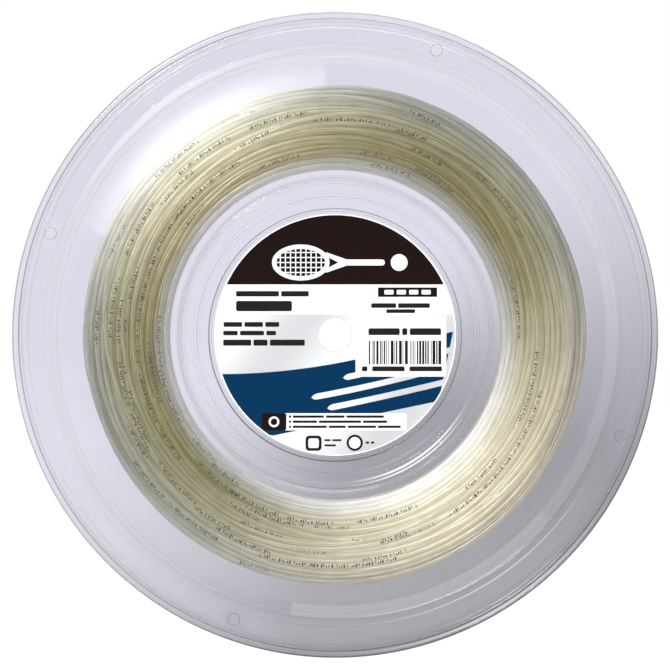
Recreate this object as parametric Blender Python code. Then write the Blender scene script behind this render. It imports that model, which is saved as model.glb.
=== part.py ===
"""String reel: a clear moulded spool with a winding of racket string.

The reel stands on its rim. Its axis is the world Y axis, the labelled face
looks towards -Y, +Z is up, and the origin is the centre of the reel.
Every turned piece is drawn as a half section (radius, height along the axis)
and spun about Y. All dimensions are in metres, all angles in degrees.
"""
import math

import bmesh
import bpy
from mathutils import Matrix

MM = 0.001

# ------------------------------------------------------------ dimensions
# Radii are from the axis, heights (_H) from the middle plane.
SEGMENTS = 64                  # facets of every turned piece; one lies at the bottom
GAP = 0.3 * MM                 # assembly clearance between neighbours

# Spindle bore, tube and barrel
BORE_R = 4.3 * MM
TUBE_R = 6.3 * MM              # spindle tube, outside
BARREL_R = 41.6 * MM           # the drum that the string is wound on
BARREL_BORE_R = 39.6 * MM
CORE_WEB = 1.6 * MM            # thickness of the core's middle web

# Flange, outer face
RECESS_R = 31.5 * MM           # shallow recess for the round label
RECESS_H = 16.4 * MM
HUB_H = 17.5 * MM
HUB_GROOVE_IN_R = 34.6 * MM    # ring groove in the hub face
HUB_GROOVE_OUT_R = 36.1 * MM
HUB_GROOVE_DEPTH = 0.3 * MM
HUB_STEP_R = 38.5 * MM         # the hub face steps down outside this radius
HUB_STEP_DROP = 0.4 * MM
WEB_H = 16.7 * MM
COVE_R = 67.8 * MM             # where the web starts to rise towards the rib
RIB_IN_R = 70.9 * MM           # stacking rib
RIB_OUT_R = 73.1 * MM
RIB_H = 17.5 * MM
LAND_H = 17.0 * MM             # flat land between rib and rim
RIM_IN_R = 78.0 * MM           # inside of the rolled rim bead
RIM_H = 18.2 * MM
FLANGE_R = 80.75 * MM          # outer radius of both flanges

# Flange, inner face
INNER_H = 15.0 * MM
SPIGOT_OUT_R = BARREL_BORE_R - GAP
SPIGOT_IN_R = 37.9 * MM
SPIGOT_H = 9.6 * MM            # tip of the spigot
SPIGOT_CHAMFER = 0.3 * MM
BOSS_IN_R = TUBE_R + GAP       # short boss that centres the spindle tube
BOSS_OUT_R = 8.2 * MM
BOSS_H = 12.6 * MM

# Snap bead round the spigot and the groove for it in the barrel.
# Heights: slope start, crest or floor start, its end, slope end.
BEAD_R = SPIGOT_OUT_R + 0.45 * MM
BEAD_HEIGHTS = (12.2 * MM, 11.6 * MM, 11.0 * MM, 10.2 * MM)
SNAP_GROOVE_R = BEAD_R + 0.35 * MM
SNAP_GROOVE_HEIGHTS = (9.9 * MM, 10.6 * MM, 12.0 * MM, 12.7 * MM)

# String-end holes, and the pegs that cut them
HOLE_PCR = 75.6 * MM           # radius of the circle the holes lie on
HOLE_R = 1.45 * MM
HOLE_COUNT = 4
FIRST_HOLE_ANGLE = 70.4
PEG_SIDES = 16
PEG_LENGTH = 8 * MM
PEG_CENTRE_H = 16.0 * MM

# String. Angles run round the axis from +X towards +Z.
STRING_R = 0.65 * MM
STRING_SIDES = 12
WINDING_IN_R = BARREL_R + GAP
WINDING_OUT_R = 61.9 * MM
WINDING_H = INNER_H - GAP      # also the ends of the core
# Rounding of the winding's outer edges: (inset from outer radius, inset from end)
WINDING_EDGE = [(0.9 * MM, 0.0), (0.2 * MM, 0.4 * MM), (0.0, 1.1 * MM)]
TAIL_GAP = 0.35 * MM           # between winding and tail
TAIL_R = WINDING_OUT_R + TAIL_GAP + STRING_R
TAIL_ANGLES = (134.0, 192.0)
TAIL_STEPS = 24

# Tape over the tail
TAPE_ANGLES = (177.0, 190.0)
TAPE_STEPS = 6
TAPE_HALF_W = 8.0 * MM
TAPE_T = 0.25 * MM
ARCH_FOOT_HALF_W = 2.6 * MM
ARCH_TOP_HALF_W = 1.3 * MM

# Paper: heights are those of the inner and outer faces
LABEL_R = 30.25 * MM
LABEL_T = 0.25 * MM
LABEL_IN_H = RECESS_H + GAP
LABEL_OUT_H = LABEL_IN_H + LABEL_T
STICKER_W = 22.7 * MM          # along X
STICKER_TALL = 15.1 * MM       # along Z
STICKER_X, STICKER_Z = 16.45 * MM, -2.9 * MM
STICKER_CORNER_R = 0.5 * MM
STICKER_CORNER_STEPS = 3
STICKER_T = 0.2 * MM
STICKER_IN_H = LABEL_OUT_H + GAP


# ------------------------------------------------------------ helpers
def material(name, colour, roughness, alpha=1.0):
    mat = bpy.data.materials.new(name)
    mat.use_nodes = True
    inputs = mat.node_tree.nodes["Principled BSDF"].inputs
    inputs["Base Color"].default_value = (*colour, 1.0)
    inputs["Roughness"].default_value = roughness
    inputs["Alpha"].default_value = alpha
    mat.diffuse_color = (*colour, alpha)
    return mat


def add_axis(name, parent=None):
    axis = bpy.data.objects.new(name, None)
    bpy.context.scene.collection.objects.link(axis)
    axis.parent = parent
    return axis


def add_object(name, bm, mat, parent, smooth_deg=30.0):
    """Turn a closed bmesh into an object; edges sharper than smooth_deg stay crisp."""
    bmesh.ops.recalc_face_normals(bm, faces=bm.faces[:])
    if bm.calc_volume(signed=True) < 0:
        bmesh.ops.reverse_faces(bm, faces=bm.faces[:])
    mesh = bpy.data.meshes.new(name)
    bm.to_mesh(mesh)
    bm.free()
    mesh.shade_smooth()
    mesh.set_sharp_from_angle(angle=math.radians(smooth_deg))
    if mat is not None:
        mesh.materials.append(mat)
    obj = bpy.data.objects.new(name, mesh)
    bpy.context.scene.collection.objects.link(obj)
    obj.parent = parent
    return obj


def polar(radius, degrees, y):
    angle = math.radians(degrees)
    return (radius * math.cos(angle), y, radius * math.sin(angle))


def turned(name, section, mat, parent, side=1.0):
    """Spin a closed half section once round the Y axis; side=-1 mirrors it towards -Y."""
    start = 180.0 / SEGMENTS          # half a facet, so one facet faces straight down
    bm = bmesh.new()
    verts = [bm.verts.new(polar(r, start, side * h)) for r, h in section]
    edges = [bm.edges.new(pair) for pair in zip(verts, verts[1:] + verts[:1])]
    bmesh.ops.spin(bm, geom=verts + edges, cent=(0, 0, 0), axis=(0, 1, 0), dvec=(0, 0, 0),
                   angle=math.tau, steps=SEGMENTS, use_merge=True, use_duplicate=False)
    bmesh.ops.remove_doubles(bm, verts=bm.verts[:], dist=1e-6)
    return add_object(name, bm, mat, parent)


def swept(name, section, angles, steps, mat, parent):
    """Sweep a closed section round part of the Y axis and cap both ends."""
    start, end = angles
    bm = bmesh.new()
    verts = [bm.verts.new(polar(r, start, h)) for r, h in section]
    face = bm.faces.new(verts)
    # Spinning about -Y goes from +X towards +Z, as the angles do.
    bmesh.ops.spin(bm, geom=[face] + face.edges[:] + verts, cent=(0, 0, 0), axis=(0, -1, 0),
                   dvec=(0, 0, 0), angle=math.radians(end - start), steps=steps,
                   use_merge=False, use_duplicate=False)
    bmesh.ops.remove_doubles(bm, verts=bm.verts[:], dist=1e-7)
    return add_object(name, bm, mat, parent, smooth_deg=40.0)


# ------------------------------------------------------------ flanges
def flange_section():
    """Half section (radius, height): out along the outer face, back along the inner."""
    hub = [
        (BORE_R, RECESS_H),
        (RECESS_R, RECESS_H),
        (RECESS_R, HUB_H),
        (HUB_GROOVE_IN_R, HUB_H),
        (HUB_GROOVE_IN_R, HUB_H - HUB_GROOVE_DEPTH),
        (HUB_GROOVE_OUT_R, HUB_H - HUB_GROOVE_DEPTH),
        (HUB_GROOVE_OUT_R, HUB_H),
        (HUB_STEP_R, HUB_H),
        (HUB_STEP_R, HUB_H - HUB_STEP_DROP),
        (BARREL_R, HUB_H - HUB_STEP_DROP),
    ]
    web_and_rib = [
        (BARREL_R + 0.5 * MM, WEB_H),
        (COVE_R, WEB_H - 0.2 * MM),
        (RIB_IN_R, WEB_H + 0.3 * MM),
        (RIB_IN_R + 0.1 * MM, RIB_H),
        (RIB_OUT_R, RIB_H),
        (RIB_OUT_R + 0.2 * MM, LAND_H),
    ]
    rounded_rim = [
        (RIM_IN_R, LAND_H),
        (RIM_IN_R + 0.3 * MM, RIM_H - 0.3 * MM),
        (RIM_IN_R + 0.8 * MM, RIM_H),
        (FLANGE_R - 0.85 * MM, RIM_H),
        (FLANGE_R - 0.25 * MM, RIM_H - 0.35 * MM),
        (FLANGE_R, RIM_H - 1.0 * MM),
        (FLANGE_R, INNER_H + 0.6 * MM),
        (FLANGE_R - 0.5 * MM, INNER_H),
    ]
    bead_radii = (SPIGOT_OUT_R, BEAD_R, BEAD_R, SPIGOT_OUT_R)
    spigot = [
        (SPIGOT_OUT_R, INNER_H),
        *zip(bead_radii, BEAD_HEIGHTS),
        (SPIGOT_OUT_R - SPIGOT_CHAMFER, SPIGOT_H),
        (SPIGOT_IN_R, SPIGOT_H),
        (SPIGOT_IN_R, INNER_H),
    ]
    boss = [
        (BOSS_OUT_R, INNER_H),
        (BOSS_OUT_R, BOSS_H),
        (BOSS_IN_R, BOSS_H),
        (BOSS_IN_R, INNER_H),
        (BORE_R, INNER_H),
    ]
    return hub + web_and_rib + rounded_rim + spigot + boss


def hole_cutter(parent):
    """Small pegs, one through each string-end hole of the front flange."""
    bm = bmesh.new()
    along_y = Matrix.Rotation(math.radians(90.0), 3, "X")
    for i in range(HOLE_COUNT):
        angle = FIRST_HOLE_ANGLE + i * 360.0 / HOLE_COUNT
        peg = bmesh.ops.create_cone(bm, cap_ends=True, cap_tris=False, segments=PEG_SIDES,
                                    radius1=HOLE_R, radius2=HOLE_R, depth=PEG_LENGTH)["verts"]
        bmesh.ops.rotate(bm, verts=peg, cent=(0, 0, 0), matrix=along_y)
        bmesh.ops.translate(bm, verts=peg, vec=polar(HOLE_PCR, angle, -PEG_CENTRE_H))
    cutter = add_object("front_flange_holes", bm, None, parent)
    cutter.hide_render = True
    cutter.display_type = "WIRE"
    return cutter


def flanges(mat, parent):
    section = flange_section()
    front = turned("front_flange", section, mat, parent, side=-1.0)
    turned("rear_flange", section, mat, parent)
    # Only the front flange is drilled: the string's free end is tucked through one hole.
    cut = front.modifiers.new("string_end_holes", "BOOLEAN")
    cut.operation = "DIFFERENCE"
    cut.solver = "EXACT"
    cut.object = hole_cutter(parent)


# ------------------------------------------------------------ hub core
def hub_core(mat, parent):
    """Barrel and spindle tube, joined by a web at the middle plane."""
    groove_radii = (BARREL_BORE_R, SNAP_GROOVE_R, SNAP_GROOVE_R, BARREL_BORE_R)
    barrel_bore = [
        (BARREL_BORE_R, CORE_WEB / 2),
        *zip(groove_radii, SNAP_GROOVE_HEIGHTS),
        (BARREL_BORE_R, WINDING_H),
    ]
    section = [
        (TUBE_R, CORE_WEB / 2),
        *barrel_bore,
        (BARREL_R, WINDING_H),
        (BARREL_R, -WINDING_H),
        *[(r, -h) for r, h in reversed(barrel_bore)],
        (TUBE_R, -CORE_WEB / 2),
        (TUBE_R, -WINDING_H),
        (BORE_R, -WINDING_H),
        (BORE_R, WINDING_H),
        (TUBE_R, WINDING_H),
    ]
    turned("hub_core", section, mat, parent)


# ------------------------------------------------------------ string and tape
def string_winding(mat, parent):
    edge = [(WINDING_OUT_R - inset, WINDING_H - drop) for inset, drop in WINDING_EDGE]
    section = [
        (WINDING_IN_R, WINDING_H),
        (WINDING_IN_R, -WINDING_H),
        *[(r, -h) for r, h in edge],
        *reversed(edge),
    ]
    turned("string_winding", section, mat, parent)


def string_tail(mat, parent):
    """The free end, lying round the outside of the winding."""
    turns = [math.tau * k / STRING_SIDES for k in range(STRING_SIDES)]
    section = [(TAIL_R + STRING_R * math.cos(a), STRING_R * math.sin(a)) for a in turns]
    swept("string_tail", section, TAIL_ANGLES, TAIL_STEPS, mat, parent)


def tail_tape(mat, parent):
    """Tape along the winding that bridges over the tail like a low arch."""
    base_r = WINDING_OUT_R + GAP
    top_r = TAIL_R + STRING_R + GAP
    underside = [
        (base_r, -TAPE_HALF_W), (base_r, -ARCH_FOOT_HALF_W), (top_r, -ARCH_TOP_HALF_W),
        (top_r, ARCH_TOP_HALF_W), (base_r, ARCH_FOOT_HALF_W), (base_r, TAPE_HALF_W),
    ]
    section = [(r + TAPE_T, h) for r, h in underside] + underside[::-1]
    swept("tail_tape", section, TAPE_ANGLES, TAPE_STEPS, mat, parent)


# ------------------------------------------------------------ paper
def front_label(mat, parent):
    section = [(BORE_R, LABEL_IN_H), (LABEL_R, LABEL_IN_H),
               (LABEL_R, LABEL_OUT_H), (BORE_R, LABEL_OUT_H)]
    turned("front_label", section, mat, parent, side=-1.0)


def barcode_sticker(mat, parent):
    """Rounded rectangle in front of the label."""
    bm = bmesh.new()
    reach_x = STICKER_W / 2 - STICKER_CORNER_R     # sticker centre to corner centres
    reach_z = STICKER_TALL / 2 - STICKER_CORNER_R
    verts = []
    for i, (side_x, side_z) in enumerate(((1, 1), (-1, 1), (-1, -1), (1, -1))):
        for k in range(STICKER_CORNER_STEPS + 1):
            x, y, z = polar(STICKER_CORNER_R, 90 * (i + k / STICKER_CORNER_STEPS), -STICKER_IN_H)
            verts.append(bm.verts.new((STICKER_X + side_x * reach_x + x, y,
                                       STICKER_Z + side_z * reach_z + z)))
    grown = bmesh.ops.extrude_face_region(bm, geom=[bm.faces.new(verts)])["geom"]
    bmesh.ops.translate(bm, verts=[v for v in grown if isinstance(v, bmesh.types.BMVert)],
                        vec=(0, -STICKER_T, 0))
    add_object("barcode_sticker", bm, mat, parent)


# ------------------------------------------------------------ build
for old in list(bpy.data.objects):
    bpy.data.objects.remove(old, do_unlink=True)

clear = material("clear_plastic", colour=(0.84, 0.84, 0.88), roughness=0.12, alpha=0.35)
core_clear = material("core_plastic", colour=(0.86, 0.86, 0.89), roughness=0.18, alpha=0.4)
nylon = material("string_nylon", colour=(0.72, 0.70, 0.50), roughness=0.28)
tail_nylon = material("tail_nylon", colour=(0.76, 0.74, 0.56), roughness=0.28)
tape_clear = material("tape_film", colour=(0.92, 0.92, 0.88), roughness=0.2, alpha=0.35)
label_paper = material("label_paper", colour=(0.86, 0.87, 0.89), roughness=0.35)
sticker_paper = material("sticker_paper", colour=(0.93, 0.93, 0.93), roughness=0.5)

reel_axis = add_axis("reel_axis")
free_end_axis = add_axis("free_end_axis", reel_axis)   # the free end travels round this axis

flanges(clear, reel_axis)
hub_core(core_clear, reel_axis)
string_winding(nylon, reel_axis)
string_tail(tail_nylon, free_end_axis)
tail_tape(tape_clear, free_end_axis)
front_label(label_paper, reel_axis)
barcode_sticker(sticker_paper, reel_axis)
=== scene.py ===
"""A clear plastic reel of nylon string with a printed label, on a white studio floor.

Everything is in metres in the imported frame: the spindle axis is Y, the label
faces -Y and +Z is up. Angles run from +X towards +Z. Overall radii and heights
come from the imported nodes' boxes; tables of sections and print are in mm.
"""
import math
import random

import bmesh
import bpy
import numpy as np
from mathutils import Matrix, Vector, geometry, noise


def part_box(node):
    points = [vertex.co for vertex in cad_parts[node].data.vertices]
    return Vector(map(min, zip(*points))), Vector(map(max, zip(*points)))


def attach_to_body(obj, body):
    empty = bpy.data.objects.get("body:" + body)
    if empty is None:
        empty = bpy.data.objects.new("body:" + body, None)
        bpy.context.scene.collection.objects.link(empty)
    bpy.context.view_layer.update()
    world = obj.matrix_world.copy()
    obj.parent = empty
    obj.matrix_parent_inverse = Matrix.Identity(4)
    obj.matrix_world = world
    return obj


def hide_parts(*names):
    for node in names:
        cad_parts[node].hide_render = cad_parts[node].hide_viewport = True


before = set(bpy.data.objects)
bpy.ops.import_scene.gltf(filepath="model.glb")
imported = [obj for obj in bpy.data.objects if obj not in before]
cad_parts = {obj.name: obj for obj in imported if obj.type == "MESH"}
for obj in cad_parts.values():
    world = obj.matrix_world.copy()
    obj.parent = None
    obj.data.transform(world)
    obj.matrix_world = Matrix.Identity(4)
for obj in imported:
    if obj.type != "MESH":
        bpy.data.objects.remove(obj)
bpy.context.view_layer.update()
MM = 0.001
TAU = math.tau

# ------------------------------------------------------------------ sizes
FACET = math.cos(math.pi / 64)          # the CAD pieces are 64-sided, flats at the extremes
flange_low, flange_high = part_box("front_flange")
core_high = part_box("hub_core")[1]
winding_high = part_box("string_winding")[1]
label_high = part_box("front_label")[1]
sticker_low, sticker_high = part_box("barcode_sticker")
tail_low, tail_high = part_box("string_tail")
FLANGE_RADIUS = flange_high.x / FACET
FLANGE_HEIGHT = -flange_low.y           # heights are distances from the middle plane y = 0
BARREL_RADIUS = core_high.x / FACET
CORE_HEIGHT = core_high.y
WINDING_RADIUS = winding_high.x / FACET
WINDING_HEIGHT = winding_high.y
LABEL_RADIUS = label_high.x / FACET
STRING_RADIUS = (tail_high.y - tail_low.y) / 2
BORE_RADIUS = 4.3 * MM
RECESS_HEIGHT = 16.4 * MM               # the floor the label sits on


# ------------------------------------------------------------------ mesh helpers
def link(obj):
    bpy.context.scene.collection.objects.link(obj)
    return obj


def attach(obj, part, replaces=None):
    """Make a piece move with a part and, if given, take a node's place."""
    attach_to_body(obj, part)
    if replaces:
        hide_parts(replaces)


def make_mesh(name, verts, faces, materials, material_index=None, smooth=True):
    """A mesh object whose consistently wound faces are turned outwards."""
    mesh = bpy.data.meshes.new(name)
    points = np.asarray(verts, dtype=np.float64)
    volume = 0.0
    for face in faces:
        first = points[face[0]]
        for k in range(1, len(face) - 1):
            volume += float(np.dot(first, np.cross(points[face[k]], points[face[k + 1]])))
    if volume < 0:
        faces = [tuple(reversed(face)) for face in faces]
    mesh.from_pydata([tuple(point) for point in points], [], faces)
    for material in materials:
        mesh.materials.append(material)
    if material_index is not None:
        mesh.polygons.foreach_set("material_index", material_index)
    if smooth:
        mesh.shade_smooth()
    mesh.update()
    return link(bpy.data.objects.new(name, mesh))


def bmesh_object(name, verts, faces, material, recalculate=False, flip=True, smooth=True):
    """A mesh object with its normals recalculated, or flipped as a whole if they face inwards."""
    mesh = bpy.data.meshes.new(name)
    mesh.from_pydata([tuple(point) for point in verts], [], faces)
    bm = bmesh.new()
    bm.from_mesh(mesh)
    if recalculate:
        bmesh.ops.recalc_face_normals(bm, faces=bm.faces[:])
    if flip and bm.calc_volume(signed=True) < 0:
        bmesh.ops.reverse_faces(bm, faces=bm.faces[:])
    bm.to_mesh(mesh)
    bm.free()
    mesh.materials.append(material)
    if smooth:
        mesh.shade_smooth()
    return link(bpy.data.objects.new(name, mesh))


def fillet(corners, support=0.07 * MM):
    """Round a closed section of (radius, height, fillet) corners given in mm.

    Returns points in metres, with support points near both ends of every longer flat.
    """
    corners = [tuple(value * MM for value in corner) for corner in corners]
    rounded = []
    for i, (x, y, size) in enumerate(corners):
        corner = Vector((x, y))
        before = Vector(corners[i - 1][:2]) - corner
        after = Vector(corners[(i + 1) % len(corners)][:2]) - corner
        length_before, length_after = before.length, after.length
        before, after = before / length_before, after / length_after
        angle = math.acos(max(-1.0, min(1.0, before.dot(after))))
        if size <= 0 or angle > math.radians(179):
            rounded.append(corner)
            continue
        cut = size / math.tan(angle / 2)
        cut = min(cut, 0.42 * length_before, 0.42 * length_after)
        size = cut * math.tan(angle / 2)
        steps = max(2, int(math.ceil((math.pi - angle) / math.radians(16))))
        centre = corner + (before + after).normalized() * (size / math.sin(angle / 2))
        start = (corner + before * cut) - centre
        end = (corner + after * cut) - centre
        start_angle = math.atan2(start.y, start.x)
        turn = (math.atan2(end.y, end.x) - start_angle + math.pi) % TAU - math.pi
        for k in range(steps + 1):
            at = start_angle + turn * k / steps
            rounded.append(centre + Vector((math.cos(at), math.sin(at))) * size)
    section = []
    for i, point in enumerate(rounded):
        following = rounded[(i + 1) % len(rounded)]
        section.append(point)
        length = (following - point).length
        if length > 5 * support:
            section.append(point + (following - point) * (support / length))
            section.append(following - (following - point) * (support / length))
    return [(point.x, point.y) for point in section]


def ring_point(radius, angle, y):
    return (radius * math.cos(angle), y, radius * math.sin(angle))


def tube_faces(base, rings, sides, closed=False):
    """Quads between rings of vertices; the last ring meets the first, or both ends are capped."""
    faces = []
    for j in range(rings if closed else rings - 1):
        here, there = base + j * sides, base + (j + 1) % rings * sides
        for i in range(sides):
            i2 = (i + 1) % sides
            faces.append((here + i, here + i2, there + i2, there + i))
    if not closed:
        faces.append(tuple(base + i for i in range(sides))[::-1])
        faces.append(tuple(base + (rings - 1) * sides + i for i in range(sides)))
    return faces


def lathe(name, section, material, segments=192, arc=None):
    """Turn a closed section about Y; arc=(from, to) in radians sweeps part of a turn."""
    start, end = arc or (0.0, TAU)
    rings = segments + 1 if arc else segments
    verts = []
    for j in range(rings):
        angle = start + (end - start) * j / segments
        verts += [ring_point(radius, angle, height) for radius, height in section]
    faces = tube_faces(0, rings, len(section), closed=not arc)
    return make_mesh(name, verts, faces, [material])


# ------------------------------------------------------------------ shader helpers
class Nodes:
    """A short way of writing the node tree of a material or a world."""

    def __init__(self, owner, output="ShaderNodeOutputMaterial"):
        self.owner = owner
        owner.use_nodes = True
        self.tree = owner.node_tree
        self.tree.nodes.clear()
        self.output = self.tree.nodes.new(output)

    def add(self, kind, ins=None, **props):
        node = self.tree.nodes.new(kind)
        for key, value in props.items():
            setattr(node, key, value)
        for key, value in (ins or {}).items():
            self.set(node, key, value)
        return node

    def set(self, node, key, value):
        socket = node.inputs[key]
        if isinstance(value, bpy.types.NodeSocket):
            self.tree.links.new(value, socket)
        elif isinstance(value, tuple) and len(value) == 3 and socket.type == "RGBA":
            socket.default_value = (*value, 1.0)
        else:
            socket.default_value = value

    def math(self, operation, first, second=None, clamp=False):
        node = self.add("ShaderNodeMath", {0: first}, operation=operation, use_clamp=clamp)
        if second is not None:
            self.set(node, 1, second)
        return node.outputs[0]

    def plus(self, first, second):
        return self.math("ADD", first, second)

    def minus(self, first, second):
        return self.math("SUBTRACT", first, second)

    def times(self, first, second):
        return self.math("MULTIPLY", first, second)

    def invert(self, value):
        return self.minus(1.0, value)

    def dot(self, first, second):
        node = self.add("ShaderNodeVectorMath", {0: first, 1: second}, operation="DOT_PRODUCT")
        return node.outputs["Value"]

    def separate(self, vector):
        return self.add("ShaderNodeSeparateXYZ", {"Vector": vector}).outputs

    def ramp(self, factor, stops):
        """A colour ramp through (position, colour) stops in rising order."""
        node = self.add("ShaderNodeValToRGB")
        elements = node.color_ramp.elements
        for position, _ in stops[1:-1]:
            elements.new(position)
        for element, (position, colour) in zip(elements, stops):
            element.position = position
            element.color = (*colour, 1.0)
        self.set(node, "Fac", factor)
        return node.outputs["Color"]

    def smooth(self, value, low, high, start=0.0, end=1.0):
        """Ease from start to end as the value goes from low to high."""
        ins = {"Value": value, "From Min": low, "From Max": high, "To Min": start, "To Max": end}
        node = self.add("ShaderNodeMapRange", ins, interpolation_type="SMOOTHSTEP", clamp=True)
        return node.outputs["Result"]

    def mix(self, factor, first, second, blend="MIX"):
        return self.add("ShaderNodeMix", {0: factor, 6: first, 7: second},
                        data_type="RGBA", blend_type=blend).outputs[2]

    def mix_shaders(self, factor, first, second):
        return self.add("ShaderNodeMixShader", {0: factor, 1: first, 2: second}).outputs[0]

    def add_shaders(self, first, second):
        return self.add("ShaderNodeAddShader", {0: first, 1: second}).outputs[0]

    def emission(self, colour, strength):
        return self.add("ShaderNodeEmission", {"Color": colour, "Strength": strength}).outputs[0]

    def transparent(self, colour):
        return self.add("ShaderNodeBsdfTransparent", {"Color": colour}).outputs[0]

    def for_shadows(self, shader, passes):
        """Shadow rays see a plain filter, so nearly clear pieces don't stop the light."""
        plain = self.transparent((passes,) * 3)
        return self.mix_shaders(self.add("ShaderNodeLightPath").outputs["Is Shadow Ray"],
                                shader, plain)

    def finish(self, shader):
        self.tree.links.new(shader, self.output.inputs["Surface"])
        return self.owner

    def object_position(self):
        return self.add("ShaderNodeTexCoord").outputs["Object"]

    def noise(self, vector, scale, detail=3.0, rough=0.5):
        return self.add("ShaderNodeTexNoise", {"Vector": vector, "Scale": scale, "Detail": detail,
                                               "Roughness": rough}).outputs["Fac"]

    def bump(self, height, strength, distance):
        return self.add("ShaderNodeBump", {"Height": height, "Strength": strength,
                                           "Distance": distance}).outputs["Normal"]


class SpindleNodes(Nodes):
    """Material nodes that know their radius and angle about the world Y axis."""

    def __init__(self, name):
        super().__init__(bpy.data.materials.new(name))
        self.geometry = self.add("ShaderNodeNewGeometry").outputs
        place = self.separate(self.geometry["Position"])
        x, z = place["X"], place["Z"]
        self.y = place["Y"]
        self.radius = self.math("SQRT", self.plus(self.times(x, x), self.times(z, z)))
        self.angle = self.math("ARCTAN2", z, x)

    def steepness(self):
        """0 where the surface is seen face on, 1 where it is seen edge on."""
        facing = self.math("ABSOLUTE", self.dot(self.geometry["Incoming"],
                                                self.geometry["Normal"]))
        return self.math("SUBTRACT", 1.0, facing, clamp=True)

    def lobe(self, centre, half, flat=0.0):
        """1 within flat degrees of a direction, falling smoothly to 0 at half degrees."""
        shifted = self.plus(self.angle, math.radians(900 - centre))
        away = self.minus(self.math("MODULO", shifted, TAU), math.pi)
        return self.invert(self.smooth(self.math("ABSOLUTE", away),
                                       math.radians(flat), math.radians(half)))

    def ring(self, at, half):
        """1 within half a width of a radius, both in mm, with sides 0.08 mm soft."""
        away = self.math("ABSOLUTE", self.minus(self.radius, at * MM))
        return self.invert(self.smooth(away, half * MM, (half + 0.08) * MM))

    def window(self, rise, fall):
        """0 to 1 across the rise, back to 0 across the fall; each is a pair of radii."""
        return self.times(self.smooth(self.radius, *rise),
                          self.invert(self.smooth(self.radius, *fall)))


def srgb(red, green, blue):
    def linear(channel):
        channel /= 255.0
        return channel / 12.92 if channel <= 0.04045 else ((channel + 0.055) / 1.055) ** 2.4
    return (linear(red), linear(green), linear(blue))


# ------------------------------------------------------------------ clear plastic
# painted shade rings where the hub face steps: radius mm, half width mm, darkness
PAINTED_HUB_STEP_SHADES = ((31.62, 0.14, 0.66), (34.60, 0.07, 0.24), (38.42, 0.09, 0.26))
# painted glints, fine bright arcs at the lower right: radius mm, half width mm, direction, half
# span, brightness
PAINTED_EDGE_GLINTS = (
    (70.88, 0.09, 290, 22, 0.30), (72.93, 0.10, 303, 36, 0.34), (79.70, 0.13, 300, 34, 0.42),
    (37.0, 0.17, 304, 33, 0.85), (37.9, 0.11, 302, 31, 0.75), (34.62, 0.06, 300, 34, 0.22),
)


def painted_hub_step_shade(net, filter_colour, surface, wall):
    """Painted shade: a dark ring at the label recess edge, and dark rings on the hub face steps,
    darkest on the side away from the key light.
    """
    # painted shade at the edge of the label recess
    painted_recess_shade = net.times(net.ring(at=31.55, half=0.35), surface)
    filter_colour = net.mix(painted_recess_shade, filter_colour, wall(0.06))
    for radius, half, darkness in PAINTED_HUB_STEP_SHADES:
        dark = net.times(net.times(net.ring(radius, half), surface), darkness)
        away = net.times(net.lobe(centre=222, half=115), 0.58)
        dark = net.times(dark, net.plus(0.42, away))
        filter_colour = net.mix(dark, filter_colour, (0.12, 0.12, 0.14))
    return filter_colour


def painted_front_reflections(net):
    """Painted reflections: soft studio reflections and glints emitted from the front face, seen
    only when looked at straight on.
    """
    view = net.math("ABSOLUTE", net.dot(net.geometry["Incoming"], (0, -1, 0)))
    front_on = net.smooth(view, low=0.975, high=0.997)
    # painted reflection at the upper left: an even patch and a brighter peak inside it
    patch = net.lobe(centre=124.5, half=33.0, flat=31.5)
    peak = net.lobe(centre=126.0, half=36.0, flat=3.0)
    band = net.window(rise=(0.0612, 0.0630), fall=(0.0640, 0.0700))
    wide = net.window(rise=(0.0560, 0.0622), fall=(0.0632, 0.0700))
    rib = net.window(rise=(0.0710, 0.0716), fall=(0.0722, 0.0730))
    total = net.times(patch, net.times(band, 0.10))
    bright = net.plus(net.times(wide, 0.27), net.times(rib, 0.16))
    total = net.plus(total, net.times(peak, bright))
    # painted reflection at the lower right: the cove just inside the rib, brighter in its first
    # part
    cove = net.window(rise=(0.06765, 0.06785), fall=(0.07070, 0.07095))
    lower = net.lobe(centre=318.0, half=57.4, flat=56.6)
    first = net.lobe(centre=290.0, half=29.8, flat=28.6)
    total = net.plus(total, net.times(net.times(lower, cove),
                                      net.plus(0.045, net.times(first, 0.038))))
    for radius, half, centre, span, brightness in PAINTED_EDGE_GLINTS:
        arc = net.times(net.ring(radius, half), net.lobe(centre, span, flat=2.0))
        total = net.plus(total, net.times(arc, brightness))
    facing_front = net.math("GREATER_THAN",
                            net.dot(net.geometry["True Normal"], (0, -1, 0)), 0.3)
    outside = net.math("LESS_THAN", net.y, -0.0158)
    total = net.times(net.times(total, front_on), net.times(facing_front, outside))
    return net.emission((1, 1, 1), total)


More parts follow.
